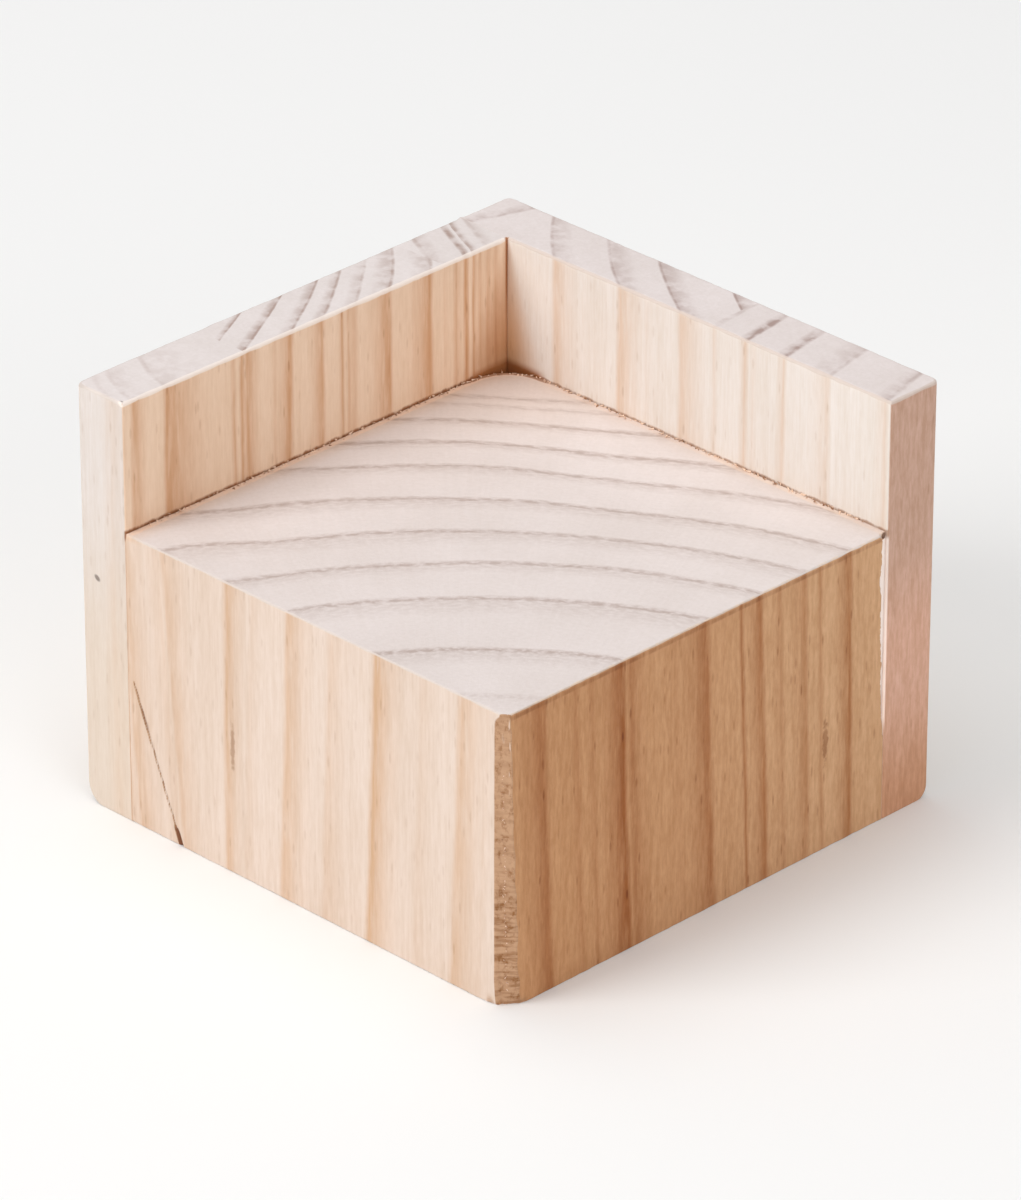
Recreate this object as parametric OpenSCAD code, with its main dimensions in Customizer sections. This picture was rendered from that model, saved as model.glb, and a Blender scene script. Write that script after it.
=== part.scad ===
// Corner riser for a bed or furniture leg: a solid pine block with its end grain up,
// and two pine boards glued to it that stand above the seat as an L-shaped lip.
// The open corner of the seat faces +X and -Y. Sizes are in millimetres.

/* [Seat] */
// Width of the seat, along the right board
seat_w = 81.5; // [60:0.5:120]
// Depth of the seat, along the left board
seat_d = 82; // [60:0.5:120]
// Height of the seat above the floor
lift = 50; // [40:1:80]

/* [Boards] */
// Height of both boards above the seat
lip_h = 22; // [12:1:35]
// Thickness of the left board
left_t = 10.5; // [8:0.5:18]
// Thickness of the right board, which laps the end of the left one
right_t = 11; // [8:0.5:18]

/* [Board edges] */
// Rounding of the foot along the left side
left_foot_r = 3.3; // [1:0.1:5]
// Rounding of the foot along the back of the right board
right_foot_r = 2.1; // [1:0.1:5]
// Rounding of the upright outer edges
upright_r = 1.3; // [0.6:0.1:3]
// Leg of the chamfer that eases the top and end edges
ease = 0.5; // [0.3:0.1:1]

/* [Block corners] */
// Radius of the block's corner under the joint of the two boards
back_r = 7.5; // [3:0.5:12]
// Width of the torn front corner at the seat
torn_top_w = 2.2; // [1.2:0.1:4]
// Width of the torn front corner at the floor
torn_foot_w = 3.2; // [1.2:0.1:5]
// Depth of the waves that the tearing left
torn_wave = 0.16; // [0.05:0.01:0.3]
// Height of one wave
torn_pitch = 3; // [2:0.5:6]
// Height of the blunted foot of the torn corner
blunt_h = 3; // [1:0.5:6]
// Extra depth of the blunted foot
blunt_d = 0.9; // [0.3:0.1:2]
// Width of the open joint between the block and the right board, at the seat
gap_w = 1.3; // [0.6:0.1:2]
// Depth of that open joint
gap_d = 1.6; // [0.6:0.1:3]
// Length of that open joint, down from the seat
gap_h = 33; // [15:1:38]

/* [Drying crack] */
// Height of its upper end, at the left board
crack_top = 24.5; // [15:0.5:34]
// Distance of its upper end from the left board
crack_from = 1; // [0.5:0.1:4]
// Distance of its lower end from the left board
crack_to = 9.6; // [6:0.1:20]
// Width of the crack
crack_w = 0.5; // [0.3:0.1:1]
// Depth of the crack
crack_d = 2.5; // [1:0.1:6]
// Width of the chip at its lower end
chip_w = 1.2; // [0.8:0.1:2.5]
// Height of that chip
chip_h = 3; // [1:0.1:5]

/* [Hidden] */
$fn = 96;

over_w = seat_w + left_t;
over_d = seat_d + right_t;
over_h = lift + lip_h;
// Outer sides, and the planes where the boards meet the seat
left_x = -over_w / 2;
right_x = over_w / 2;
front_y = -over_d / 2;
back_y = over_d / 2;
seat_x = left_x + left_t;
seat_y = back_y - right_t;
// How far every cut runs past the faces that it cuts
run = 1;

pine_end = "#e9d9ce";
pine_left = "#ecd9c6";
pine_right = "#dcb98f";

// Waste outside a rounded corner of an outline. The corner is at the origin and the wood at +X and +Y.
module corner_round(r) {
    difference() {
        translate([-run, -run]) square(r + run);
        translate([r, r]) circle(r = r);
    }
}

// Waste outside an eased corner of an outline, with the corner at the origin
module corner_ease() {
    rotate(45) square(ease * sqrt(2), center = true);
}

// Run an outline drawn in X and Z along +Y, or one drawn in Y and Z along +X
module run_y(long) { translate([0, long, 0]) rotate([90, 0, 0]) linear_extrude(long) children(); }
module run_x(long) { rotate([90, 0, 90]) linear_extrude(long) children(); }

// Depth of the torn corner below the sharp one, measured square to its face, at a height above the floor
function torn_depth(z) =
    (torn_foot_w + (torn_top_w - torn_foot_w) * z / lift) / 2
    + torn_wave * sin(360 * z / torn_pitch) * sin(360 * z / lift)
    + (z < blunt_h ? blunt_d * pow(1 - z / blunt_h, 2) : 0);

// Waste outside the torn corner: its upright section, drawn once and run across the corner
module torn_waste() {
    steps = ceil(lift * 4 / torn_pitch);
    far = torn_foot_w + blunt_d;
    face = [for (i = [0:steps]) [-torn_depth(lift * i / steps), lift * i / steps]];
    section = concat(
        [[far, -run], [-torn_depth(0), -run]],
        face,
        [[-torn_depth(lift), lift + run], [far, lift + run]]
    );
    translate([right_x, front_y, 0]) rotate([0, 0, -45]) rotate([90, 0, 0])
        linear_extrude(height = 4 * far, center = true) polygon(section);
}

// Wedge cut from the block's right edge, widest at the seat and gone at its lower end; the board shows in it
module open_joint() {
    lean = atan(gap_w / gap_h);
    translate([right_x - gap_d, seat_y - gap_w, lift]) rotate([lean, 0, 0])
        translate([0, 0, -2 * gap_h]) cube([gap_d + run, 2 * gap_w + run, 2 * gap_h + run]);
}

// Slot of the drying crack in the block's front face, and the chip at the floor
module crack_waste() {
    across = crack_to - crack_from;
    lean = atan(across / crack_top);
    long = norm([across, crack_top]);
    translate([seat_x + crack_to, front_y - run, 0]) rotate([0, -lean, 0]) {
        translate([-crack_w / 2, 0, -crack_w]) cube([crack_w, crack_d + run, long + crack_w]);
        translate([-chip_w / 2, 0, -chip_w]) cube([chip_w, crack_d + run, chip_h + chip_w]);
    }
}

module block_plan() {
    difference() {
        translate([seat_x, front_y]) square([seat_w, seat_d]);
        translate([seat_x, seat_y]) rotate(-90) corner_round(back_r);
    }
}

module block() {
    color(pine_end) difference() {
        linear_extrude(lift) block_plan();
        torn_waste();
        open_joint();
        crack_waste();
    }
}

// Each board is what its end, plan and side outlines have in common
module left_board() {
    color(pine_left) translate([left_x, front_y, 0]) intersection() {
        run_y(seat_d) difference() {
            square([left_t, over_h]);
            corner_round(left_foot_r);
            translate([0, over_h]) corner_ease();
            translate([left_t, over_h]) corner_ease();
        }
        linear_extrude(over_h) difference() {
            square([left_t, seat_d]);
            corner_round(upright_r);
            translate([left_t, 0]) corner_ease();
        }
        run_x(left_t) difference() {
            square([seat_d, over_h]);
            translate([0, over_h]) corner_ease();
        }
    }
}

module right_board() {
    color(pine_right) translate([left_x, seat_y, 0]) difference() {
        intersection() {
            run_x(over_w) difference() {
                square([right_t, over_h]);
                translate([right_t, 0]) rotate(90) corner_round(right_foot_r);
                translate([right_t, over_h]) corner_ease();
            }
            linear_extrude(over_h) difference() {
                square([over_w, right_t]);
                translate([0, right_t]) rotate(-90) corner_round(upright_r);
                translate([over_w, right_t]) rotate(180) corner_round(upright_r);
                translate([over_w, 0]) corner_ease();
            }
            run_y(right_t) difference() {
                square([over_w, over_h]);
                corner_round(left_foot_r);
                translate([0, over_h]) corner_ease();
                translate([over_w, over_h]) corner_ease();
            }
        }
        // inner top edge, over the seat alone
        translate([left_t, 0, over_h]) run_x(seat_w + run) corner_ease();
    }
}

block();
left_board();
right_board();
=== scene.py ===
# Corner riser of pine for a bed leg: three pieces of wood with their growth rings, on a pale studio floor.
import math

import bpy
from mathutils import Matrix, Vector, noise


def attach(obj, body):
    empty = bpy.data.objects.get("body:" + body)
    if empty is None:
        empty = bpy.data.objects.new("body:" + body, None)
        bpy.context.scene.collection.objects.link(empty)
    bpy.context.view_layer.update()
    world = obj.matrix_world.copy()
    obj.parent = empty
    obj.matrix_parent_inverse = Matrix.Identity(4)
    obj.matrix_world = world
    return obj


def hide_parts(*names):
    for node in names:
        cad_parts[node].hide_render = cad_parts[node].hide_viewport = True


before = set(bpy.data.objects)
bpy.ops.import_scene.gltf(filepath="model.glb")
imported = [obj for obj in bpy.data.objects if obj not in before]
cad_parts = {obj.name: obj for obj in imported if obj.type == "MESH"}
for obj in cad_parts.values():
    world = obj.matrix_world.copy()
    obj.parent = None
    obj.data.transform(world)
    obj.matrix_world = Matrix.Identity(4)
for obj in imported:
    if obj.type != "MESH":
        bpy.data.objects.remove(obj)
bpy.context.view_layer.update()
mm = 0.001


def shade(red, green, blue):
    # screen colour of 0 to 255 as linear light
    def lin(value):
        value = value / 255
        return value / 12.92 if value <= 0.04045 else ((value + 0.055) / 1.055) ** 2.4
    return (lin(red), lin(green), lin(blue), 1.0)


def smooth(low, high, value):
    t = max(0.0, min(1.0, (value - low) / (high - low)))
    return t * t * (3 - 2 * t)


def ripple(x, y, z, seed=0.0):
    # soft noise from -1 to 1
    return noise.noise(Vector((x + seed * 17.3, y - seed * 9.1, z + seed * 5.7)))


# ---- camera ----

cameraLook = {
    "azimuth": 44.9,
    "elevation": 28.0,
    "distance": 1.306,
    "lens": 252.6,
    "aim": (-0.0098, 0.0104, 0.0269),
}


def makeCamera(look):
    turn = math.radians(look["azimuth"])
    lift = math.radians(look["elevation"])
    back = Vector((math.sin(turn) * math.cos(lift), -math.cos(turn) * math.cos(lift), math.sin(lift)))
    data = bpy.data.cameras.new("camera")
    data.lens = look["lens"]
    data.sensor_width = 36
    data.clip_start = 0.05
    data.clip_end = 20
    camera = bpy.data.objects.new("camera", data)
    bpy.context.scene.collection.objects.link(camera)
    camera.location = Vector(look["aim"]) + back * look["distance"]
    camera.rotation_mode = "QUATERNION"
    camera.rotation_quaternion = (-back).to_track_quat("-Z", "Y")
    bpy.context.scene.camera = camera


makeCamera(cameraLook)
print("camera set")


# ---- shader helpers ----

class Wire:
    # an output socket that takes part in sums
    def __init__(self, maker, socket):
        self.maker = maker
        self.socket = socket

    def math(self, operation, *values, **settings):
        return self.maker.add("ShaderNodeMath", {"operation": operation, **settings}, values)

    def __add__(self, other):
        return self.math("ADD", self, other)

    def __radd__(self, other):
        return self.math("ADD", other, self)

    def __sub__(self, other):
        return self.math("SUBTRACT", self, other)

    def __rsub__(self, other):
        return self.math("SUBTRACT", other, self)

    def __mul__(self, other):
        return self.math("MULTIPLY", self, other)

    def __rmul__(self, other):
        return self.math("MULTIPLY", other, self)

    def __truediv__(self, other):
        return self.math("DIVIDE", self, other)

    def __rtruediv__(self, other):
        return self.math("DIVIDE", other, self)

    def __pow__(self, other):
        return self.math("POWER", self, other)

    def __abs__(self):
        return self.math("ABSOLUTE", self)

    def clamp(self):
        return self.math("ADD", self, 0.0, use_clamp=True)

    def upTo(self, other):
        return self.math("MINIMUM", self, other)

    def atLeast(self, other):
        return self.math("MAXIMUM", self, other)

    def smooth(self, low, high, start=0.0, end=1.0):
        settings = {"interpolation_type": "SMOOTHSTEP"}
        values = {"Value": self, "From Min": low, "From Max": high, "To Min": start, "To Max": end}
        return self.maker.add("ShaderNodeMapRange", settings, values)


class Maker:
    # one material and its nodes
    def __init__(self, name):
        self.material = bpy.data.materials.new(name)
        self.material.use_nodes = True
        self.tree = self.material.node_tree
        self.tree.nodes.clear()

    def add(self, kind, settings=None, values=(), out=0):
        node = self.tree.nodes.new(kind)
        for key, value in (settings or {}).items():
            if key == "stops":
                self.setStops(node, value)
            else:
                setattr(node, key, value)
        pairs = values.items() if isinstance(values, dict) else enumerate(values)
        for key, value in pairs:
            if isinstance(value, Wire):
                self.tree.links.new(value.socket, node.inputs[key])
            else:
                node.inputs[key].default_value = value
        return Wire(self, node.outputs[out]) if len(node.outputs) else node

    def setStops(self, node, stops):
        elements = node.color_ramp.elements
        while len(elements) < len(stops):
            elements.new(1.0)
        for element, (position, level) in zip(elements, sorted(stops)):
            element.position = position
            element.color = (level, level, level, 1)

    def vector(self, x, y, z):
        return self.add("ShaderNodeCombineXYZ", {}, (x, y, z))

    def parts(self, wire):
        first = self.add("ShaderNodeSeparateXYZ", {}, (wire,))
        node = first.socket.node
        return [Wire(self, socket) for socket in node.outputs]

    def noise(self, place, scale, detail=2.0, rough=0.5):
        values = {"Vector": place, "Scale": scale, "Detail": detail, "Roughness": rough}
        return self.add("ShaderNodeTexNoise", {}, values)

    def dots(self, place, scale):
        values = {"Vector": place, "Scale": scale}
        wire = self.add("ShaderNodeTexVoronoi", {"feature": "F1"}, values)
        node = wire.socket.node
        return wire, self.parts(Wire(self, node.outputs["Color"]))[0]

    def blend(self, factor, first, second, how="MIX"):
        settings = {"data_type": "RGBA", "blend_type": how}
        return self.add("ShaderNodeMix", settings, {0: factor, 6: first, 7: second}, out=2)

    def levels(self, wire, low, high, stops):
        share = (wire - low) / (high - low)
        placed = [((position - low) / (high - low), level) for position, level in stops]
        return self.add("ShaderNodeValToRGB", {"stops": placed}, (share,))


def ringBands(make, wire, rings, profile, side=1):
    # each ring has a place, a strength on faces, one on ends, and the width of its soft side,
    # negative to turn it round; the profile gives shares of that width, millimetres and a level
    bands = None
    onEnds = profile is not faceProfile
    share = 32 // len(profile)
    for first in range(0, len(rings), share):
        stops = []
        for middle, onFace, onEnd, soft in rings[first:first + share]:
            strength = onEnd if onEnds else onFace
            way = math.copysign(side, side * soft)
            for part, past, level in profile:
                stops.append((middle + way * (part * abs(soft) + past), strength * level))
        low = min(stops)[0] - 1
        high = max(stops)[0] + 1
        band = make.levels(wire, low, high, stops)
        bands = band if bands is None else bands.atLeast(band)
    return bands


faceProfile = [(-1, 0, 0), (-0.5, 0, 0.38), (-0.2, 0, 0.78), (0, -0.15, 1), (0, 0.75, 0)]
endProfile = [(-1, 0, 0), (-0.6, 0, 0.20), (0, -0.7, 0.38), (0, -0.3, 0.8), (0, 0.0, 1), (0, 0.4, 0.6), (0, 1.1, 0)]
boardEndProfile = [(-1, 0, 0), (-0.5, 0, 0.40), (0, -0.45, 0.62), (0, -0.1, 1), (0, 0.25, 0.85), (0, 0.7, 0)]


# ---- the pine ----

blockLook = {
    "pith": (78.6, -89.5),
    "taper": 1.7,
    "rings": [
        (60.2, 0.75, 0.35, 5.0), (74.4, 1.05, 0.95, 5.0), (90.6, 0.80, 0.90, 5.4), (101.8, 0.85, 0.85, 3.4),
        (111.8, 0.62, 0.85, 4.4), (122.6, 0.90, 0.95, 4.0), (133.8, 0.60, 0.90, 3.2), (142.3, 0.60, 1.00, 2.6),
        (150.5, 0.50, 0.90, 2.4), (156.6, 0.40, 0.45, 1.6), (159.8, 0.40, 0.65, 1.6),
    ],
    "frontRings": [
        (56.6, 0.25, 0, 1.6), (66.4, 0.20, 0, 2.6), (82.6, 0.38, 0, 4.0), (88.0, 0.32, 0, 1.6), (97.4, 0.18, 0, 2.0),
        (112.6, 0.35, 0, -3.4), (119.6, 0.75, 0, 5.0),
    ],
    "sideRings": [
        (65.8, 0.38, 0, 1.3), (68.8, 0.35, 0, 1.4), (75.6, 0.65, 0, -3.6), (85.0, 0.18, 0, 3.0), (97.6, 0.85, 0, 0.8),
        (106.0, 0.40, 0, 2.2), (115.4, 0.55, 0, 1.1),
    ],
    "frontPale": shade(234, 216, 203),
    "frontDark": shade(217, 180, 147),
    # painted shade: the side colours are darker, warmer shaded copies of the front colours
    "shadedSidePale": shade(207, 160, 119),
    "shadedSideDark": shade(164, 101, 53),
    "endPale": shade(227, 217, 214),
    "endDark": shade(193, 177, 171),
    "arris": shade(220, 208, 200),
    "tornPale": shade(198, 157, 124),
    "tornDark": shade(148, 100, 60),
    "jointLight": shade(253, 240, 232),
    "coarse": 1.1,
    "flecks": 0.78,
    "contrast": 2.2,
}

leftBoardLook = {
    # from where on each strip runs, its slant and how that changes, its bulge, its sharp side, its rings
    # and the false rings of its faces
    "strips": [
        {"from": -40.0, "slant": 0.42, "fan": 0.0, "bulge": -0.7, "side": -1,
         "rings": [(-0.8, 0.4, 0.15, 1.4), (2.0, 0.7, 0.30, 3.4), (8.9, 0.8, 0.28, 9.5)],
         "faceRings": [(16.4, 0.15, 0, 1.5), (22.9, 0.6, 0, 1.0), (24.4, 0.8, 0, 1.4)]},
        {"from": 25.0, "slant": 2.35, "fan": -0.024, "bulge": 0.5, "side": 1,
         "rings": [(13.3, 1.0, 0.9, 2.4), (24.6, 1.2, 1.0, 3.4), (34.9, 0.85, 0.80, 3.6), (41.6, 0.75, 0.75, 3.0),
                   (48.7, 0.4, 0.55, 3.4), (56.3, 0.85, 0.75, 5.0), (65.1, 0.85, 0.66, 5.0)],
         "faceRings": [(25.5, 0.75, 0, -3.0), (31.6, 0.35, 0, 1.0), (33.3, 0.4, 0, 1.0), (45.9, 0.8, 0, 1.0),
                       (47.3, 0.6, 0, 0.9), (61.9, 0.3, 0, 2.0)]},
        {"from": 68.0, "slant": 0.50, "fan": 0.0, "bulge": 0.0, "side": -1,
         "rings": [(66.4, 0.6, 0.5, 2.8), (72.9, 1.0, 0.85, 1.3), (74.5, 0.8, 0.7, 1.2), (77.6, 0.5, 0.35, 1.8)],
         "faceRings": [(70.6, 0.5, 0, 1.6), (76.0, 0.5, 0, 1.2), (79.4, 0.5, 0, 1.2)]},
    ],
    "frontPale": shade(231, 223, 219),
    "frontDark": shade(220, 194, 172),
    # painted shade: the side colours are warmer shaded copies of the front colours
    "shadedSidePale": shade(246, 218, 193),
    "shadedSideDark": shade(208, 152, 106),
    "endPale": shade(229, 220, 218),
    "endDark": shade(182, 160, 152),
    "arris": shade(250, 237, 228),
    "outPale": shade(238, 216, 194),
    "outDark": shade(206, 160, 120),
    "coarse": 0.25,
    "flecks": 0.15,
    "contrast": 1.6,
}

rightBoardLook = {
    "strips": [
        {"from": -40.0, "slant": 0.35, "fan": 0.0, "bulge": 0.0, "side": 1,
         "rings": [(2.0, 0.9, 0.55, 2.4)], "faceRings": [(7.4, 0.3, 0, 1.4)]},
        {"from": 7.5, "slant": -0.68, "fan": -0.0145, "bulge": -0.6, "side": -1,
         "rings": [(20.8, 0.9, 0.55, 5.0), (34.8, 0.95, 0.62, 6.0), (48.0, 0.8, 0.72, 6.0), (66.8, 0.3, 0.85, 5.0)],
         "faceRings": [(40.5, 0.2, 0, 2.0)]},
        {"from": 54.4, "slant": 0.06, "fan": -0.003, "bulge": 0.0, "side": 1,
         "rings": [(55.4, 0.4, 0.30, 1.0), (61.9, 0.8, 1.10, 1.5), (69.9, 0.7, 1.0, 1.8), (79.2, 0.5, 0.42, 4.4),
                   (90.8, 0.6, 0.50, 2.4)],
         "faceRings": [(63.6, 0.3, 0.3, 1.0)]},
    ],
    "frontPale": shade(244, 238, 233),
    "frontDark": shade(232, 207, 186),
    # painted shade: the side colours are darker, warmer shaded copies of the front colours
    "shadedSidePale": shade(206, 169, 150),
    "shadedSideDark": shade(184, 138, 110),
    "endPale": shade(229, 219, 217),
    "endDark": shade(178, 156, 150),
    "arris": shade(218, 202, 192),
    "outPale": shade(238, 216, 194),
    "outDark": shade(206, 160, 120),
    "coarse": 1.7,
    "flecks": 0.25,
    "contrast": 1.6,
}


def blockRings(make, x, y, z, look):
    dx = x - look["pith"][0]
    dy = y - look["pith"][1]
    below = (50 - z) * 0.02
    sideways = ((x + y) * 0.02).upTo(1).atLeast(-1)
    corner = x.smooth(-8, -27) * y.smooth(-28, -44)
    wander = make.noise(make.vector(x, y, z * 0.3), 0.05, 2) - 0.5
    shiver = make.noise(make.vector(x, y, z * 0.2), 0.6, 3) - 0.5
    centre = (dx * dx + dy * dy) ** 0.5
    radius = centre - sideways - below * look["taper"]
    radius = radius + corner * (below * 5 - 2.4) + wander * 1.6 + shiver * 0.6
    # the outer rings bend away from circles
    turn = make.add("ShaderNodeMath", {"operation": "ARCTAN2"}, (dy, dx))
    late = turn * 57.3 - (centre - 122) * 0.22
    bend = late.smooth(120, 134, -3.6, 0.0) + late.smooth(132, 150, 0.0, 3.0)
    radius = radius - bend * centre.smooth(98, 134)
    # rays run out from the pith
    ray = make.noise(make.vector(turn * 230, centre * 0.09, z * 0.02), 1.0, 2, 0.6)
    arc = make.noise(make.vector(turn * 62, radius * 1.5, z * 0.02), 1.0, 3, 0.6)
    rings = ringBands(make, radius, look["rings"], faceProfile)
    front = ringBands(make, radius, look["frontRings"], faceProfile)
    side = ringBands(make, radius, look["sideRings"], faceProfile)
    ends = ringBands(make, radius, look["rings"], endProfile)
    return rings, front, side, ends, ray, arc


def boardRings(make, along, depth, z, look):
    wander = make.noise(make.vector(along, depth, z * 0.35), 0.06, 2) - 0.5
    shiver = make.noise(make.vector(along, depth, z * 0.2), 0.5, 2) - 0.5
    along = along + wander * 1.2 + shiver * 0.35
    across = depth * (11 - depth) * (4 / 121)
    faces = None
    ends = None
    for strip in look["strips"]:
        flat = (along - across * strip["bulge"] - depth * strip["slant"]) / (depth * strip["fan"] + 1)
        rings = ringBands(make, flat, strip["rings"], faceProfile, strip["side"])
        more = ringBands(make, flat, strip["faceRings"], faceProfile, strip["side"])
        tops = ringBands(make, flat, strip["rings"], boardEndProfile, strip["side"])
        face = rings.atLeast(more)
        past = along.smooth(strip["from"] - 0.12, strip["from"] + 0.12)
        faces = face * past if faces is None else faces + (face - faces) * past
        ends = tops * past if ends is None else ends + (tops - ends) * past
    ray = make.noise(make.vector(along * 0.08 + depth * 0.9, depth * 0.1 + along * 1.3, z * 0.02), 1.5, 2, 0.6)
    arc = make.noise(make.vector(along * 0.5, depth * 0.5, z * 0.02), 0.9, 2, 0.5)
    return faces, ends, ray, arc


def blockMarks(make, colour, x, y, z, facing, look):
    # the side is browner towards the front corner
    near = y.smooth(30, -44) * facing[0].smooth(0.4, 0.8)
    colour = make.blend(near * 0.8, colour, make.blend(1.0, colour, (0.90, 0.82, 0.73, 1), "MULTIPLY"))
    far = y.smooth(-2, 22) * facing[0].smooth(0.4, 0.8)
    colour = make.blend(far * 0.9, colour, make.blend(1.0, colour, (1.08, 1.15, 1.22, 1), "MULTIPLY"))
    # painted highlight on the eased top edge of the side, and a painted shade line below it
    sideEdgeHighlight = (facing[0] * facing[2]).smooth(0.10, 0.35) * z.smooth(49.2, 49.5)
    nicks = make.noise(make.vector(x, y, 9.0), 0.55, 3, 0.6)
    colour = make.blend(sideEdgeHighlight * nicks.smooth(0.4, 0.65, 0.0, 0.55), colour, shade(240, 212, 184))
    # painted shade line under the edge
    sideEdgeShade = abs(z - 49.2).smooth(0.5, 0.15) * facing[0].smooth(0.6, 0.9)
    sideEdgeShade = sideEdgeShade * nicks.smooth(0.65, 0.35, 0.35, 1.0)
    colour = make.blend(sideEdgeShade * 0.75, colour, make.blend(1.0, colour, (0.62, 0.50, 0.42, 1), "MULTIPLY"))
    # dark short tear near the far end of the side, and a streak on the front
    tear = ((y - 22.3) ** 2 + ((z - 19.0) * 0.16) ** 2) ** 0.5
    fray = make.noise(make.vector(x, y, z), 1.2, 2) - 0.5
    tear = (tear + fray).smooth(0.75, 0.3) * facing[0].smooth(0.6, 0.9)
    streak = ((x + 12.5) ** 2 + ((z - 22.0) * 0.12) ** 2) ** 0.5
    streak = (streak + fray * 0.6).smooth(0.6, 0.25) * facing[1].smooth(-0.6, -0.9)
    scar = (tear + streak * 0.8).clamp()
    colour = make.blend(scar * 0.75, colour, make.blend(1.0, colour, (0.50, 0.36, 0.26, 1), "MULTIPLY"))

    # torn corner: brown, with fine ribs and darker pits
    torn = (facing[0] * facing[1] * -1).smooth(0.10, 0.30) * abs(facing[2]).smooth(0.8, 0.5)
    pits = make.noise(make.vector(x * 1.3, y * 1.3, z * 0.9), 0.9, 3, 0.65)
    ribs = make.noise(make.vector(x * 0.35, y * 0.35, z * 1.8), 0.9, 2, 0.6)
    rough = pits.smooth(0.48, 0.72) * 0.7 + ribs.smooth(0.4, 0.7) * z.smooth(24, 14, 0.3, 0.7)
    tornWood = make.blend(rough.clamp(), look["tornPale"], look["tornDark"])
    colour = make.blend(torn, colour, tornWood)

    # drying crack on the front, darkest near its upper end and in the chip at the floor
    run = (24.5 - z) * (9.9 / 24.5) - 34.2
    jitter = make.noise(make.vector(0.0, 0.0, z), 0.45, 2) - 0.5
    off = abs(x - run - jitter * 0.5)
    onFront = y.smooth(-43.6, -44.6) * z.smooth(25.2, 24.2)
    line = off.smooth(0.22, 0.05) * make.noise(make.vector(3.0, 0.0, z), 0.3, 2).smooth(0.3, 0.6, 0.2, 0.4)
    hole = off.smooth(0.6, 0.4) * z.smooth(3.2, 2.4)
    spot = off.smooth(0.5, 0.2) * abs(z - 19.2).smooth(2.4, 0.8)
    crack = ((line + spot * 0.4).upTo(0.75) + hole).clamp() * onFront
    colour = make.blend(crack, colour, shade(128, 82, 56))

    # painted light: the open joint by the right board is painted pale like a lit board face, with a small painted
    # shadow at its top
    joint = make.noise(make.vector(5.0, 0.0, z), 0.35, 3, 0.65) * 2.6 - 0.3
    reach = (joint * z.smooth(14, 34, 0.5, 1.0)).atLeast(0.0) * z.smooth(15.5, 18.5) * z.smooth(49.2, 48.4)
    # painted light in the open joint
    jointLight = (y - 35.5 + reach).smooth(-0.12, 0.12) * x.smooth(43.0, 44.0)
    colour = make.blend(jointLight, colour, look["jointLight"])
    # painted shadow at the top of the joint
    jointTopShadow = ((y - 35.1) ** 2 + (z - 49.4) ** 2) ** 0.5
    colour = make.blend(jointTopShadow.smooth(0.65, 0.4) * x.smooth(43.0, 44.0), colour, shade(96, 60, 40))

    # along the boards the seat has painted shade near its edge, a pale ragged lip and painted shade in the crease; rim
    # is the way in from its edge
    seat = z.smooth(48.8, 49.6)
    toLeft = (x * -1 - 28).atLeast(0)
    toBack = (y - 28).atLeast(0)
    rim = (toLeft * toLeft + toBack * toBack) ** 0.5 * -1 + 7.5
    share = (toLeft - toBack).smooth(-4, 4, 0.35, 1.0)
    ragged = make.noise(make.vector(x, y, 0.0), 0.75, 3, 0.65)
    # painted shade on the seat along the boards
    warm = rim.smooth(4.5, 0.4) * seat * share * 0.8
    colour = make.blend(warm, colour, make.blend(1.0, colour, (0.95, 0.84, 0.73, 1), "MULTIPLY"))
    # warm painted shade near the rear corner of the seat
    away = ((x + 35.5) ** 2 + (y - 35.5) ** 2) ** 0.5
    # painted shade towards the rear corner
    cornerShade = away.smooth(34, 4) * seat * 0.5
    colour = make.blend(cornerShade, colour, make.blend(1.0, colour, (0.94, 0.85, 0.76, 1), "MULTIPLY"))
    # the pale lip is partly painted highlight on the rim, partly pale fibres
    lip = (rim + ragged * 0.9).smooth(2.0, 1.4) * seat * share * ragged.smooth(0.3, 0.55, 0.3, 1.0)
    colour = make.blend(lip * 0.7, colour, shade(243, 210, 186))
    # painted shade in the crease along the boards
    creaseShade = (rim + ragged * 0.6 - away.smooth(13, 7, 0.0, 0.7)).smooth(0.62, 0.36) * seat * share.atLeast(away.smooth(13, 7))
    colour = make.blend(creaseShade * 0.8, colour, shade(156, 106, 72))
    light = (35.5 - y).smooth(1.3, 0.8) * x.smooth(4, 12) * x.smooth(42, 36) * seat
    return make.blend(light * 0.5, colour, shade(238, 216, 198))


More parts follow.
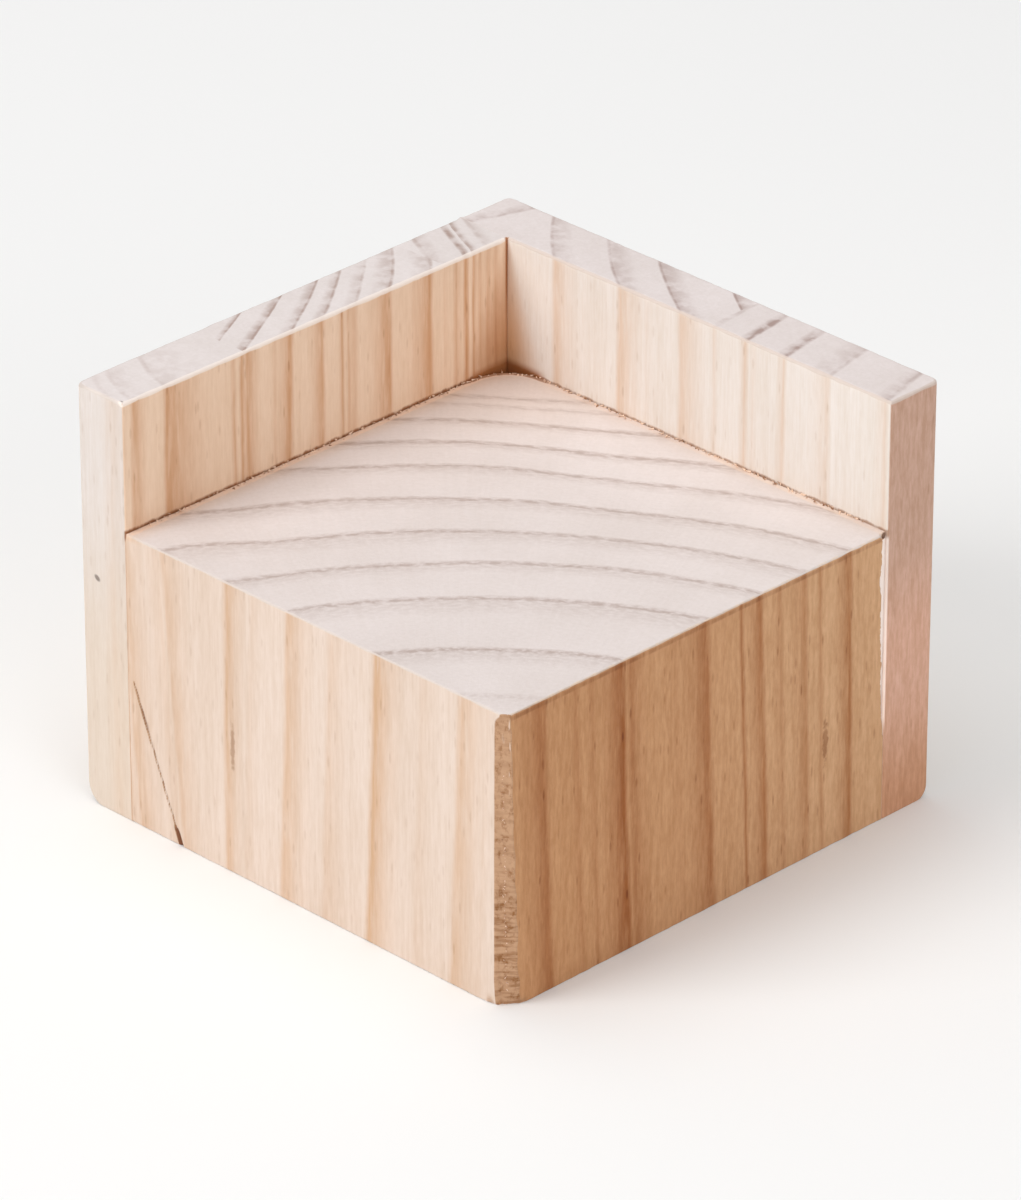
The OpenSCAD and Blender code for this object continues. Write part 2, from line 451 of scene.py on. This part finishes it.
def boardMarks(make, colour, x, y, z, kind):
    # painted shade along the foot of the lip, and brown painted shade that widens down the inner corner
    gaps = make.noise(make.vector(x, y, 2.0), 0.6, 3, 0.65)
    if kind == "left":
        face = x.smooth(-35.9, -35.6)
        depth = 35.5 - y
        widen = 0.60
        foot = (z - 50 - gaps * 0.9).smooth(0.1, -0.4) * gaps.smooth(0.3, 0.55, 0.35, 0.95)
        creaseShade = shade(158, 104, 68)
        cornerShade = (0.67, 0.47, 0.32, 1)
        line = depth.smooth(0.60, 0.20) * z.smooth(55, 66, 0.0, 0.9)
    else:
        face = y.smooth(35.9, 35.6) * x.smooth(-35.6, -35.5)
        depth = x + 35.5
        widen = 0.42
        foot = (z - 50 - gaps * 0.7).smooth(0.1, -0.3) * gaps.smooth(0.3, 0.55, 0.2, 0.8)
        creaseShade = shade(182, 142, 116)
        cornerShade = (0.83, 0.55, 0.33, 1)
        line = depth.smooth(0.25, 0.05) * z.smooth(56, 70, 0.0, 0.5)
    # painted shade in the crease at the foot of the board
    colour = make.blend((foot * face * z.smooth(48.2, 49.4)).clamp(), colour, creaseShade)
    reach = (72.3 - z) * widen + 0.2
    # painted shade that widens down the inner corner
    cone = (depth / reach).smooth(1.0, 0.0) * face * z.smooth(48.0, 49.6)
    low = z.smooth(72, 52, 0.35, 1.0)
    colour = make.blend((cone * low).clamp(), colour, make.blend(1.0, colour, cornerShade, "MULTIPLY"))
    # painted shade down the inner corner and in the hollow under the block's rounded corner
    hollowShade = depth.smooth(9.0, 6.4) * z.smooth(51.6, 49.8)
    colour = make.blend(((line + hollowShade) * face).clamp(), colour, shade(176, 112, 66))
    if kind == "right":
        # painted light on the board's face where it shows below the seat in the open joint
        jointLit = face * x.smooth(43.6, 44.2) * z.smooth(49.5, 48.5) * z.smooth(15, 18)
        colour = make.blend(jointLit, colour, shade(252, 238, 230))
        # the end is lighter halfway down, and more orange towards the floor
        end = x.smooth(45.5, 45.8)
        half = z.smooth(50, 28) * end
        colour = make.blend(half, colour, make.blend(1.0, colour, (1.20, 1.13, 1.10, 1), "MULTIPLY"))
        low = z.smooth(24, 2) * end
        colour = make.blend(low, colour, make.blend(1.0, colour, (0.84, 0.73, 0.58, 1), "MULTIPLY"))
    else:
        # the end is warmer towards the floor, and has a pin knot
        warm = y.smooth(-45.9, -46.2) * z.smooth(60, 20)
        colour = make.blend(warm, colour, make.blend(1.0, colour, (1.0, 0.94, 0.85, 1), "MULTIPLY"))
        knot = ((x + 42.1 + (z - 40.0) * 0.4) ** 2 + ((z - 40.0) * 1.1) ** 2) ** 0.5
        spot = knot.smooth(0.75, 0.35) * y.smooth(-46.0, -46.3)
        colour = make.blend(spot * 0.8, colour, shade(124, 108, 100))
    return colour


def pineMaterial(name, look, kind):
    make = Maker(name)
    place = make.add("ShaderNodeTexCoord", {}, (), out="Object")
    place = make.add("ShaderNodeVectorMath", {"operation": "SCALE"}, {0: place, "Scale": 1000.0})
    x, y, z = make.parts(place)
    facing = make.parts(make.add("ShaderNodeNewGeometry", {}, (), out="Normal"))
    end = abs(facing[2]).smooth(0.45, 0.8)
    if kind != "block":
        end = end.atLeast(z.smooth(71.88, 71.96))
    side = abs(facing[0]).smooth(0.35, 0.85)

    if kind == "block":
        rings, front, inSide, ends, ray, arc = blockRings(make, x, y, z, look)
        dark = rings.atLeast(front + (inSide - front) * side)
    elif kind == "left":
        dark, ends, ray, arc = boardRings(make, y + 46.5, -35.5 - x, z, look)
    else:
        dark, ends, ray, arc = boardRings(make, x + 46, y - 35.5, z, look)

    fibre = make.noise(make.vector(x, y, z * 0.06), 2.4, 3, 0.6)
    streak = make.noise(make.vector(x, y, z * 0.02), 0.55, 2, 0.5)
    patch = make.noise(make.vector(x, y, z * 0.25), 0.07, 2, 0.5)
    grey = make.noise(place, 1.4, 3, 0.65)
    speckle = make.noise(make.vector(x, y, z * 0.3), 1.5, 3, 0.65)

    # latewood is broken up along the fibres, and thin on the end grain
    broken = make.noise(make.vector(x, y, z * 0.1), 1.1, 3, 0.6)
    faceDark = dark * broken.smooth(0.25, 0.6, 0.55, 1.0)
    endDark = ends * arc.smooth(0.3, 0.65, 0.4, 1.35)

    # painted shade: x-facing sides take warmer, mostly darker shaded copies of the front's colours
    pale = make.blend(side, look["frontPale"], look["shadedSidePale"])
    deep = make.blend(side, look["frontDark"], look["shadedSideDark"])
    if kind != "block":
        # the hidden sides are plain pine
        out = (facing[0] * -1).smooth(0.35, 0.85)
        out = out if kind == "left" else out.atLeast(facing[1].smooth(0.35, 0.85))
        pale = make.blend(out, pale, look["outPale"])
        deep = make.blend(out, deep, look["outDark"])
    wood = make.blend(faceDark.clamp(), pale, deep)
    grain = make.blend(endDark.clamp(), look["endPale"], look["endDark"])

    # fibres, speckles and broad streaks
    coarse = side * look["coarse"]
    tone = fibre.smooth(0.25, 0.75, -0.09, 0.07) + streak.smooth(0.25, 0.75, -0.06, 0.05)
    flame = make.noise(make.vector(x, y, z * 0.14), 1.15, 2, 0.6)
    tone = tone + flame.smooth(0.3, 0.7, -0.10, 0.08) * (coarse + 0.2)
    tone = tone + patch.smooth(0.3, 0.7, -0.05, 0.05)
    tone = tone + speckle.smooth(0.3, 0.7, -0.09, 0.08) * (coarse + 0.4)
    wood = make.blend((0.5 - tone * look["contrast"]).clamp(), make.blend(1.0, wood, (1.07, 1.08, 1.1, 1), "MULTIPLY"),
                      make.blend(1.0, wood, (0.88, 0.82, 0.75, 1), "MULTIPLY"))

    # resin canals show as short dashes on the faces
    dashes, chance = make.dots(make.vector(x, y, z * 0.24), 0.9)
    dash = dashes.smooth(0.29, 0.1) * chance.smooth(0.3, 0.5) * (dark * 0.6 + 0.5)
    dash = dash * (side * look["flecks"] + 0.33)
    wood = make.blend((dash * 0.9).clamp(), wood, make.blend(1.0, wood, (0.60, 0.46, 0.34, 1), "MULTIPLY"))

    mottle = grey.smooth(0.3, 0.7, -0.036, 0.036) + patch.smooth(0.3, 0.7, -0.04, 0.04)
    mottle = mottle + ray.smooth(0.3, 0.7, -0.015, 0.015) + arc.smooth(0.3, 0.7, 0.03, -0.03) * (ends + 0.7)
    grain = make.blend((0.5 - mottle * 5).clamp(), make.blend(1.0, grain, (1.03, 1.03, 1.035, 1), "MULTIPLY"),
                       make.blend(1.0, grain, (0.92, 0.905, 0.89, 1), "MULTIPLY"))
    colour = make.blend(end, wood, grain)
    # painted light and shade on the eased top edges: a painted highlight on the left board's inside, painted shade
    # elsewhere that dims them, those of the left board's outside most
    top = 50 if kind == "block" else 72
    arris = abs(facing[2]).smooth(0.08, 0.3) * abs(facing[2]).smooth(0.985, 0.9) * z.smooth(top - 0.9, top - 0.5)
    edgeLightAndShade = look["arris"]
    if kind == "left":
        edgeLightAndShade = make.blend(facing[0].smooth(-0.1, 0.2), shade(208, 196, 188), edgeLightAndShade)
    colour = make.blend(arris * 0.8, colour, edgeLightAndShade)
    if kind == "block":
        colour = blockMarks(make, colour, x, y, z, facing, look)
    else:
        colour = boardMarks(make, colour, x, y, z, kind)

    height = fibre * 0.7
    relief = height + (grey * 0.8 - height) * end
    bump = make.add("ShaderNodeBump", {}, {"Strength": 0.4, "Distance": 0.00015, "Height": relief})
    rough = 0.62 + grey.smooth(0.3, 0.7, -0.06, 0.06)
    shader = make.add("ShaderNodeBsdfPrincipled", {}, {
        "Base Color": colour,
        "Roughness": rough,
        "IOR": 1.45,
        "Specular IOR Level": 0.3,
        "Normal": bump,
    })
    make.add("ShaderNodeOutputMaterial", {}, (shader,))
    return make.material


# ---- meshes ----

def planLine(start, end, step, fine=(), fineStep=0.25):
    # points from start to end, without the end; fine gives stretches of the length with a closer step
    length = math.dist(start, end)
    stops = [0.0]
    while True:
        at = stops[-1]
        near = any(low - 1e-6 <= at < high for low, high in fine)
        gap = fineStep if near else step
        if not near:
            ahead = [low for low, high in fine if low > at + 1e-6]
            gap = min([gap] + [low - at for low in ahead])
        if at + gap > length - 0.4 * gap:
            break
        stops.append(at + gap)
    return [tuple(a + (b - a) * at / length for a, b in zip(start, end)) for at in stops]


def planArc(centre, radius, start, end, parts):
    points = []
    for i in range(parts):
        angle = math.radians(start + (end - start) * i / parts)
        points.append((centre[0] + radius * math.cos(angle), centre[1] + radius * math.sin(angle)))
    return points


def planNormals(points):
    pairs = []
    count = len(points)
    for i, point in enumerate(points):
        before = Vector(points[i - 1])
        after = Vector(points[(i + 1) % count])
        here = Vector(point)
        first = (here - before).normalized()
        second = (after - here).normalized()
        run = (first + second).normalized()
        stretch = 1 / max(0.5, run.dot(first))
        pairs.append((point, (run.y * stretch, -run.x * stretch)))
    return pairs


def wallMesh(name, plan, levels, place, material):
    # walls of quads up the levels, closed by a flat face at each end
    count = len(plan)
    verts = []
    for level in levels:
        for point, normal in plan:
            verts.append([value * mm for value in place(point, normal, level)])
    faces = []
    for row in range(len(levels) - 1):
        low = row * count
        high = low + count
        for i in range(count):
            j = (i + 1) % count
            faces.append((low + i, low + j, high + j, high + i))
    walls = len(faces)
    top = (len(levels) - 1) * count
    faces.append(tuple(reversed(range(count))))
    faces.append(tuple(range(top, top + count)))
    mesh = bpy.data.meshes.new(name)
    mesh.from_pydata(verts, [], faces)
    mesh.polygons.foreach_set("use_smooth", [i < walls for i in range(len(faces))])
    mesh.materials.append(material)
    mesh.validate()
    piece = bpy.data.objects.new(name, mesh)
    bpy.context.scene.collection.objects.link(piece)
    return piece


def levelList(low, high, step, extra=()):
    # rounded foot, walls and rounded top; each level is its kind and a share or a height
    rows = [("foot", share / 3) for share in range(4)]
    heights = []
    at = low
    while at < high - 0.4 * step:
        heights.append(at)
        at += step
    heights = sorted(set(heights + [high] + [round(value, 3) for value in extra]))
    rows += [("wall", height) for height in heights]
    rows += [("top", share / 3) for share in (3, 2, 1, 0)]
    return rows


def easeLevel(level, ease, height):
    # height and inset of a level on an edge rounded by ease
    kind, value = level
    if kind == "wall":
        return value, 0.0
    angle = value * math.pi / 2
    inset = ease * (1 - math.sin(angle))
    rise = ease * (1 - math.cos(angle))
    return (rise if kind == "foot" else height - rise), inset


# ---- block ----

blockShape = {
    "left": -35.5,
    "right": 46.0,
    "front": -46.5,
    "back": 35.5,
    "height": 50.0,
    "backRadius": 7.5,
    "tornFront": 2.5,
    "tornSideTop": 0.8,
    "tornSideFoot": 2.6,
    "crackFrom": (-34.2, 24.5),
    "crackTo": (-24.3, 0.0),
    "crackWidth": 0.13,
    "crackDepth": 0.35,
    "jointWidth": 1.2,
    "jointDepth": 0.5,
    "jointFoot": 17.0,
}


def blockPlan(shape):
    left, right, front, back = (shape[key] for key in ("left", "right", "front", "back"))
    radius = shape["backRadius"]
    # close columns where the drying crack runs
    points = planLine((left, front), (left + 12, front), 0.13)
    points += planLine((left + 12, front), (right, front), 1.0, [(65, 70)], 0.22)
    points += planLine((right, front), (right, back), 1.0, [(0, 4.5), (79.5, 82.5)], 0.22)
    points += planLine((right, back), (left + radius, back), 1.5)
    points += planArc((left + radius, back - radius), radius, 90, 180, 16)
    points += planLine((left, back - radius), (left, front), 1.5)
    return planNormals(points)


def placeBlock(point, normal, level):
    shape = blockShape
    x, y = point
    kind = level[0]
    hidden = x < shape["left"] + 0.01 or y > shape["back"] - 0.01
    ease = 0.27 + 0.10 * ripple(x * 0.35, y * 0.35, 3.1) + 0.12 * ripple(x * 1.7, y * 1.7, 8.2)
    ease = 0.08 + 0.3 * max(0.0, ripple(x * 0.6, y * 0.6, 5.0, 9)) if hidden else max(0.06, ease)
    z, inset = easeLevel(level, ease, shape["height"])
    inset += 0.03 + 0.03 * ripple(x * 0.5, y * 0.5, z * 0.05, 1)
    if hidden and z > 40:
        # the block stands a little off the boards at the seat, here and there
        gape = max(0.0, 0.20 * ripple(x * 0.3, y * 0.3, 1.0, 2))
        inset += gape * smooth(46, 50, z)
    x -= normal[0] * inset
    y -= normal[1] * inset

    # torn front corner, which widens along the right side towards the floor
    share = z / shape["height"]
    onFront = shape["tornFront"] * (1 - 0.45 * smooth(48.2, 49.6, z))
    onSide = shape["tornSideFoot"] + (shape["tornSideTop"] - shape["tornSideFoot"]) * share
    onSide += 0.35 * ripple(0, 0, z * 0.25, 3)
    long = math.hypot(onFront, onSide)
    over = ((x - shape["right"] + onFront) * onSide - (y - shape["front"]) * onFront) / long
    if over > -0.6:
        across = (x - shape["right"]) + (y - shape["front"])
        cut = 0.12 + 0.10 * ripple(across * 0.4, 0, z * 0.4, 4) + 0.06 * ripple(across * 1.1, 0, z * 1.2, 5)
        ribs = smooth(30, 18, z) * smooth(5, 8, z)
        cut += 0.055 * ribs * math.sin(z * 4.7 + 1.5 * ripple(across * 0.6, 0, z * 0.3, 6))
        cut += 0.14 * max(0.0, ripple(across * 0.9, 2.0, z * 0.9, 7))
        cut += 0.4 * (1 - z / 3.0) ** 2 if z < 3.0 else 0.0
        # the arris with the front is clean, the one with the side is ragged
        run = ((x - shape["right"] + onFront) * onFront + (y - shape["front"]) * onSide) / long
        over += max(0.0, cut) * smooth(0.0, 1.1, run)
        push = over if over > 0.12 else max(0.0, over + 0.12) ** 2 / 0.48
        x -= onSide / long * push
        y += onFront / long * push

    # the foot of the corner is blunted on both sides too
    if z < 5.0:
        blunt = 0.45 * (1 - z / 5.0) ** 2
        y += blunt * smooth(-2.2, 0.0, x - shape["right"] + onFront) * smooth(2.0, 0.5, y - shape["front"])
        x -= blunt * smooth(2.2, 0.0, y - shape["front"] - onSide) * smooth(2.0, 0.5, shape["right"] - x)

    # drying crack with its chip at the floor
    if y < shape["front"] + 1.0 and z < 26 and x < -24:
        (x0, z0), (x1, z1) = shape["crackFrom"], shape["crackTo"]
        line = x0 + (x1 - x0) * (z0 - z) / (z0 - z1) + 0.22 * ripple(0, 0, z * 0.45, 5)
        width = shape["crackWidth"] * (0.7 + 0.8 * smooth(10, 24, z)) * (1 + 0.5 * ripple(0, 3, z * 0.7, 6))
        width *= smooth(25.5, 23.5, z) + 0.02
        width += 0.45 * smooth(3.4, 2.2, z)
        depth = shape["crackDepth"] * max(0.0, 1 - abs(x - line) / max(0.02, width))
        y += depth

    # open joint at the right board
    if x > shape["right"] - 1.0 and z > shape["jointFoot"] - 2 and y > 32:
        rise = (z - shape["jointFoot"]) / (shape["height"] - shape["jointFoot"])
        wide = shape["jointWidth"] * (0.25 + 0.75 * max(0.0, rise)) * smooth(-0.06, 0.06, rise)
        wide *= 1 + 0.45 * ripple(0, 0, z * 0.3, 7) + 0.2 * ripple(0, 0, z * 1.2, 8)
        near = smooth(shape["back"] - wide - 0.25, shape["back"] - wide + 0.05, y)
        x -= shape["jointDepth"] * near
    return x, y, z


# ---- boards ----

boardShape = {
    "height": 72.0,
    "leftFoot": 3.3,
    "backFoot": 2.1,
    "upright": 1.3,
    "ease": 0.5,
    "joint": 0.03,
}


def leftBoardPlan(shape):
    radius = shape["upright"]
    points = planArc((-46 + radius, -46.5 + radius), radius, 180, 270, 8)
    points += planLine((-46 + radius, -46.5), (-35.9, -46.5), 0.8)
    points += planArc((-35.9, -46.1), 0.4, 270, 360, 4)
    points += planLine((-35.5, -46.1), (-35.5, 35.5), 1.0)
    points += planLine((-35.5, 35.5), (-46, 35.5), 1.5)
    points += planLine((-46, 35.5), (-46, -46.5 + radius), 1.0)
    return planNormals(points)


def rightBoardPlan(shape):
    radius = shape["upright"]
    points = planLine((-46, 35.5), (45.6, 35.5), 1.0)
    points += planArc((45.6, 35.9), 0.4, 270, 360, 4)
    points += planLine((46, 35.9), (46, 46.5 - radius), 0.8)
    points += planArc((46 - radius, 46.5 - radius), radius, 0, 90, 8)
    points += planLine((46 - radius, 46.5), (-46 + radius, 46.5), 1.0)
    points += planArc((-46 + radius, 46.5 - radius), radius, 90, 180, 8)
    points += planLine((-46, 46.5 - radius), (-46, 35.5), 1.0)
    return planNormals(points)


def footSlip(radius, z):
    # how far a foot rounded by radius stands back at height z
    if z >= radius:
        return 0.0
    return radius - math.sqrt(max(0.0, radius ** 2 - (radius - z) ** 2))


def placeLeftBoard(point, normal, level):
    shape = boardShape
    x, y = point
    atJoint = y > 35.2
    ease = shape["ease"] * (1 + 0.3 * ripple(x * 0.3, y * 0.3, 2.2, 11) + 0.25 * ripple(x * 1.3, y * 1.3, 2.2, 12))
    ease = shape["joint"] if atJoint else ease * (1.25 if x > -36 else 1.0)
    z, inset = easeLevel(level, ease if level[0] == "top" else 0.2, shape["height"])
    inset += 0.004 if atJoint else 0.03 + 0.03 * ripple(x * 0.5, y * 0.5, z * 0.05, 13)
    x -= normal[0] * inset
    y -= normal[1] * inset
    slip = footSlip(shape["leftFoot"], z)
    x += slip * (-35.5 - x) / 10.5
    return x, y, z


def placeRightBoard(point, normal, level):
    shape = boardShape
    x, y = point
    atJoint = y < 35.6 and x < -35.4
    ease = shape["ease"] * (1 + 0.3 * ripple(x * 0.3, y * 0.3, 2.2, 21) + 0.25 * ripple(x * 1.3, y * 1.3, 2.2, 22))
    ease = shape["joint"] if atJoint else ease
    z, inset = easeLevel(level, ease if level[0] == "top" else 0.2, shape["height"])
    inset += 0.004 if atJoint else 0.03 + 0.03 * ripple(x * 0.5, y * 0.5, z * 0.05, 23)
    x -= normal[0] * inset
    y -= normal[1] * inset
    y -= footSlip(shape["backFoot"], z) * (y - 35.5) / 11
    x += footSlip(shape["leftFoot"], z) * max(0.0, (-40 - x) / 6)
    return x, y, z


footHeights = [0.45, 0.8, 1.2, 1.7, 2.3, 3.0, 3.6]

blockPine = pineMaterial("block_pine", blockLook, "block")
leftPine = pineMaterial("left_board_pine", leftBoardLook, "left")
rightPine = pineMaterial("right_board_pine", rightBoardLook, "right")
print("materials made")

block = wallMesh("pine_block", blockPlan(blockShape),
                 levelList(0.5, 49.4, 0.42, footHeights), placeBlock, blockPine)
leftBoard = wallMesh("pine_left_board", leftBoardPlan(boardShape),
                     levelList(4.5, 71.0, 1.5, footHeights), placeLeftBoard, leftPine)
rightBoard = wallMesh("pine_right_board", rightBoardPlan(boardShape),
                      levelList(4.5, 71.0, 1.5, footHeights), placeRightBoard, rightPine)

creaseFibres = {
    "name": "crease_fibres",
    "path": [(-35.1, -42.0, 50.05), (-35.1, 27.8, 50.05), (-34.5, 31.2, 50.05), (-31.2, 34.5, 50.05),
             (-27.8, 35.2, 50.05), (41.0, 35.2, 50.05)],
    "Spacing": 0.8,
    "Length": 1.0,
    "Thickness": 0.19,
    "Stray": 0.32,
    "Lean": 0.3,
    "Seed": 4,
}

cornerFibres = {
    "name": "corner_fibres",
    "path": [(44.8, -45.25, 3.0), (44.75, -45.5, 17.0), (44.7, -45.65, 30.0), (44.65, -45.75, 40.0)],
    "Spacing": 0.6,
    "Length": 0.5,
    "Thickness": 0.10,
    "Stray": 0.2,
    "Lean": 1.4,
    "Seed": 9,
}


def fibreTree(material):
    # torn fibres: small cones scattered along a path, each turned and scaled at random
    tree = bpy.data.node_groups.new("fibres", "GeometryNodeTree")
    tree.interface.new_socket("Geometry", in_out="INPUT", socket_type="NodeSocketGeometry")
    for key in ("Spacing", "Length", "Thickness", "Stray", "Lean"):
        tree.interface.new_socket(key, in_out="INPUT", socket_type="NodeSocketFloat")
    tree.interface.new_socket("Seed", in_out="INPUT", socket_type="NodeSocketInt")
    tree.interface.new_socket("Geometry", in_out="OUTPUT", socket_type="NodeSocketGeometry")

    def add(kind, settings=None, values=None):
        node = tree.nodes.new(kind)
        for key, value in (settings or {}).items():
            setattr(node, key, value)
        for key, value in (values or {}).items():
            if isinstance(value, bpy.types.NodeSocket):
                tree.links.new(value, node.inputs[key])
            else:
                node.inputs[key].default_value = value
        return node

    given = add("NodeGroupInput").outputs
    path = add("GeometryNodeMeshToCurve", {}, {"Mesh": given["Geometry"]})
    spots = add("GeometryNodeCurveToPoints", {"mode": "LENGTH"}, {"Curve": path.outputs[0], "Length": given["Spacing"]})
    offset = add("FunctionNodeRandomValue", {"data_type": "FLOAT_VECTOR"}, {"Min": (-1, -1, 0), "Max": (1, 1, 0.3), "Seed": given["Seed"]})
    strayed = add("ShaderNodeVectorMath", {"operation": "SCALE"}, {0: offset.outputs[0], "Scale": given["Stray"]})
    placed = add("GeometryNodeSetPosition", {}, {"Geometry": spots.outputs[0], "Offset": strayed.outputs[0]})
    cone = add("GeometryNodeMeshCone", {}, {"Vertices": 5, "Radius Bottom": given["Thickness"], "Depth": given["Length"]})
    lying = add("ShaderNodeMath", {"operation": "SUBTRACT"}, {0: math.pi / 2, 1: given["Lean"]})
    rising = add("ShaderNodeMath", {"operation": "ADD"}, {0: math.pi / 2, 1: given["Lean"]})
    least = add("ShaderNodeCombineXYZ", {}, {"X": lying.outputs[0]})
    most = add("ShaderNodeCombineXYZ", {}, {"X": rising.outputs[0], "Z": math.tau})
    turn = add("FunctionNodeRandomValue", {"data_type": "FLOAT_VECTOR"}, {"Min": least.outputs[0], "Max": most.outputs[0], "Seed": given["Seed"]})
    size = add("FunctionNodeRandomValue", {"data_type": "FLOAT"}, {2: 0.4, 3: 1.1, "Seed": given["Seed"]})
    copies = add("GeometryNodeInstanceOnPoints", {}, {
        "Points": placed.outputs[0],
        "Instance": cone.outputs[0],
        "Rotation": turn.outputs[0],
        "Scale": size.outputs[1],
    })
    solid = add("GeometryNodeRealizeInstances", {}, {"Geometry": copies.outputs[0]})
    painted = add("GeometryNodeSetMaterial", {}, {"Geometry": solid.outputs[0], "Material": material})
    add("NodeGroupOutput", {}, {"Geometry": painted.outputs[0]})
    return tree


def makeFibres(look, tree):
    mesh = bpy.data.meshes.new(look["name"] + "_path")
    verts = [[value * mm for value in point] for point in look["path"]]
    mesh.from_pydata(verts, [(i, i + 1) for i in range(len(verts) - 1)], [])
    piece = bpy.data.objects.new(look["name"], mesh)
    bpy.context.scene.collection.objects.link(piece)
    modifier = piece.modifiers.new("fibres", "NODES")
    modifier.node_group = tree
    for item in tree.interface.items_tree:
        if item.in_out == "INPUT" and item.name in look:
            value = look[item.name]
            scale = mm if item.name in ("Spacing", "Length", "Thickness", "Stray") else 1
            modifier[item.identifier] = value * scale
    bpy.context.view_layer.update()
    ready = piece.evaluated_get(bpy.context.evaluated_depsgraph_get())
    solid = bpy.data.meshes.new_from_object(ready)
    piece.modifiers.remove(modifier)
    piece.data = solid
    return piece


def fibreMaterial():
    make = Maker("fibre_pine")
    place = make.add("ShaderNodeTexCoord", {}, (), out="Object")
    spots = make.noise(place, 900.0, 2, 0.6)
    colour = make.blend(spots.smooth(0.45, 0.65), shade(244, 214, 190), shade(150, 104, 72))
    shader = make.add("ShaderNodeBsdfPrincipled", {}, {"Base Color": colour, "Roughness": 0.75, "IOR": 1.45})
    make.add("ShaderNodeOutputMaterial", {}, (shader,))
    return make.material


fibres = fibreTree(fibreMaterial())
creasePiece = makeFibres(creaseFibres, fibres)
cornerPiece = makeFibres(cornerFibres, fibres)

for piece, node, slot in (
    (block, "block", "block_pine"),
    (leftBoard, "left_board", "left_board_pine"),
    (rightBoard, "right_board", "right_board_pine"),
    (creasePiece, None, "block_pine"),
    (cornerPiece, None, "block_pine"),
):
    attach(piece, "root")
    if node:
        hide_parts(node)
    print(piece.name, len(piece.data.polygons), "faces")


# ---- studio ----

studioLook = {
    "floorSize": 6.0,
    "floorColour": (0.92, 0.92, 0.92, 1),
    "keyPower": 13.5,
    "keySize": 0.9,
    "keyFrom": (-0.55, -1.35, 1.15),
    "fillPower": 6.5,
    "fillFrom": (1.5, -0.5, 0.7),
    "topPower": 10.0,
    "topFrom": (-0.15, -0.1, 1.6),
    "sky": 0.42,
}


def makeFloor(look):
    half = look["floorSize"] / 2
    mesh = bpy.data.meshes.new("floor")
    mesh.from_pydata([(-half, -half, 0), (half, -half, 0), (half, half, 0), (-half, half, 0)], [], [(0, 1, 2, 3)])
    make = Maker("floor_paint")
    shader = make.add("ShaderNodeBsdfPrincipled", {}, {
        "Base Color": look["floorColour"], "Roughness": 0.9, "Specular IOR Level": 0.1})
    make.add("ShaderNodeOutputMaterial", {}, (shader,))
    mesh.materials.append(make.material)
    floor = bpy.data.objects.new("floor", mesh)
    bpy.context.scene.collection.objects.link(floor)


def makeLight(name, place, power, size, colour):
    data = bpy.data.lights.new(name, "AREA")
    data.energy = power
    data.size = size
    data.color = colour
    light = bpy.data.objects.new(name, data)
    bpy.context.scene.collection.objects.link(light)
    light.location = place
    light.rotation_mode = "QUATERNION"
    light.rotation_quaternion = (Vector((0, 0, 0.03)) - Vector(place)).to_track_quat("-Z", "Y")
    light.visible_camera = False


makeFloor(studioLook)
makeLight("key", studioLook["keyFrom"], studioLook["keyPower"], studioLook["keySize"], (1.0, 0.99, 0.97))
makeLight("fill", studioLook["fillFrom"], studioLook["fillPower"], 1.0, (1.0, 0.98, 0.95))
makeLight("top", studioLook["topFrom"], studioLook["topPower"], 1.4, (1.0, 1.0, 1.0))

world = bpy.data.worlds.new("studio")
world.use_nodes = True
sky = world.node_tree.nodes["Background"]
sky.inputs["Color"].default_value = (1, 1, 1, 1)
sky.inputs["Strength"].default_value = studioLook["sky"]
bpy.context.scene.world = world
bpy.context.scene.view_settings.view_transform = "Standard"
print("studio lit")
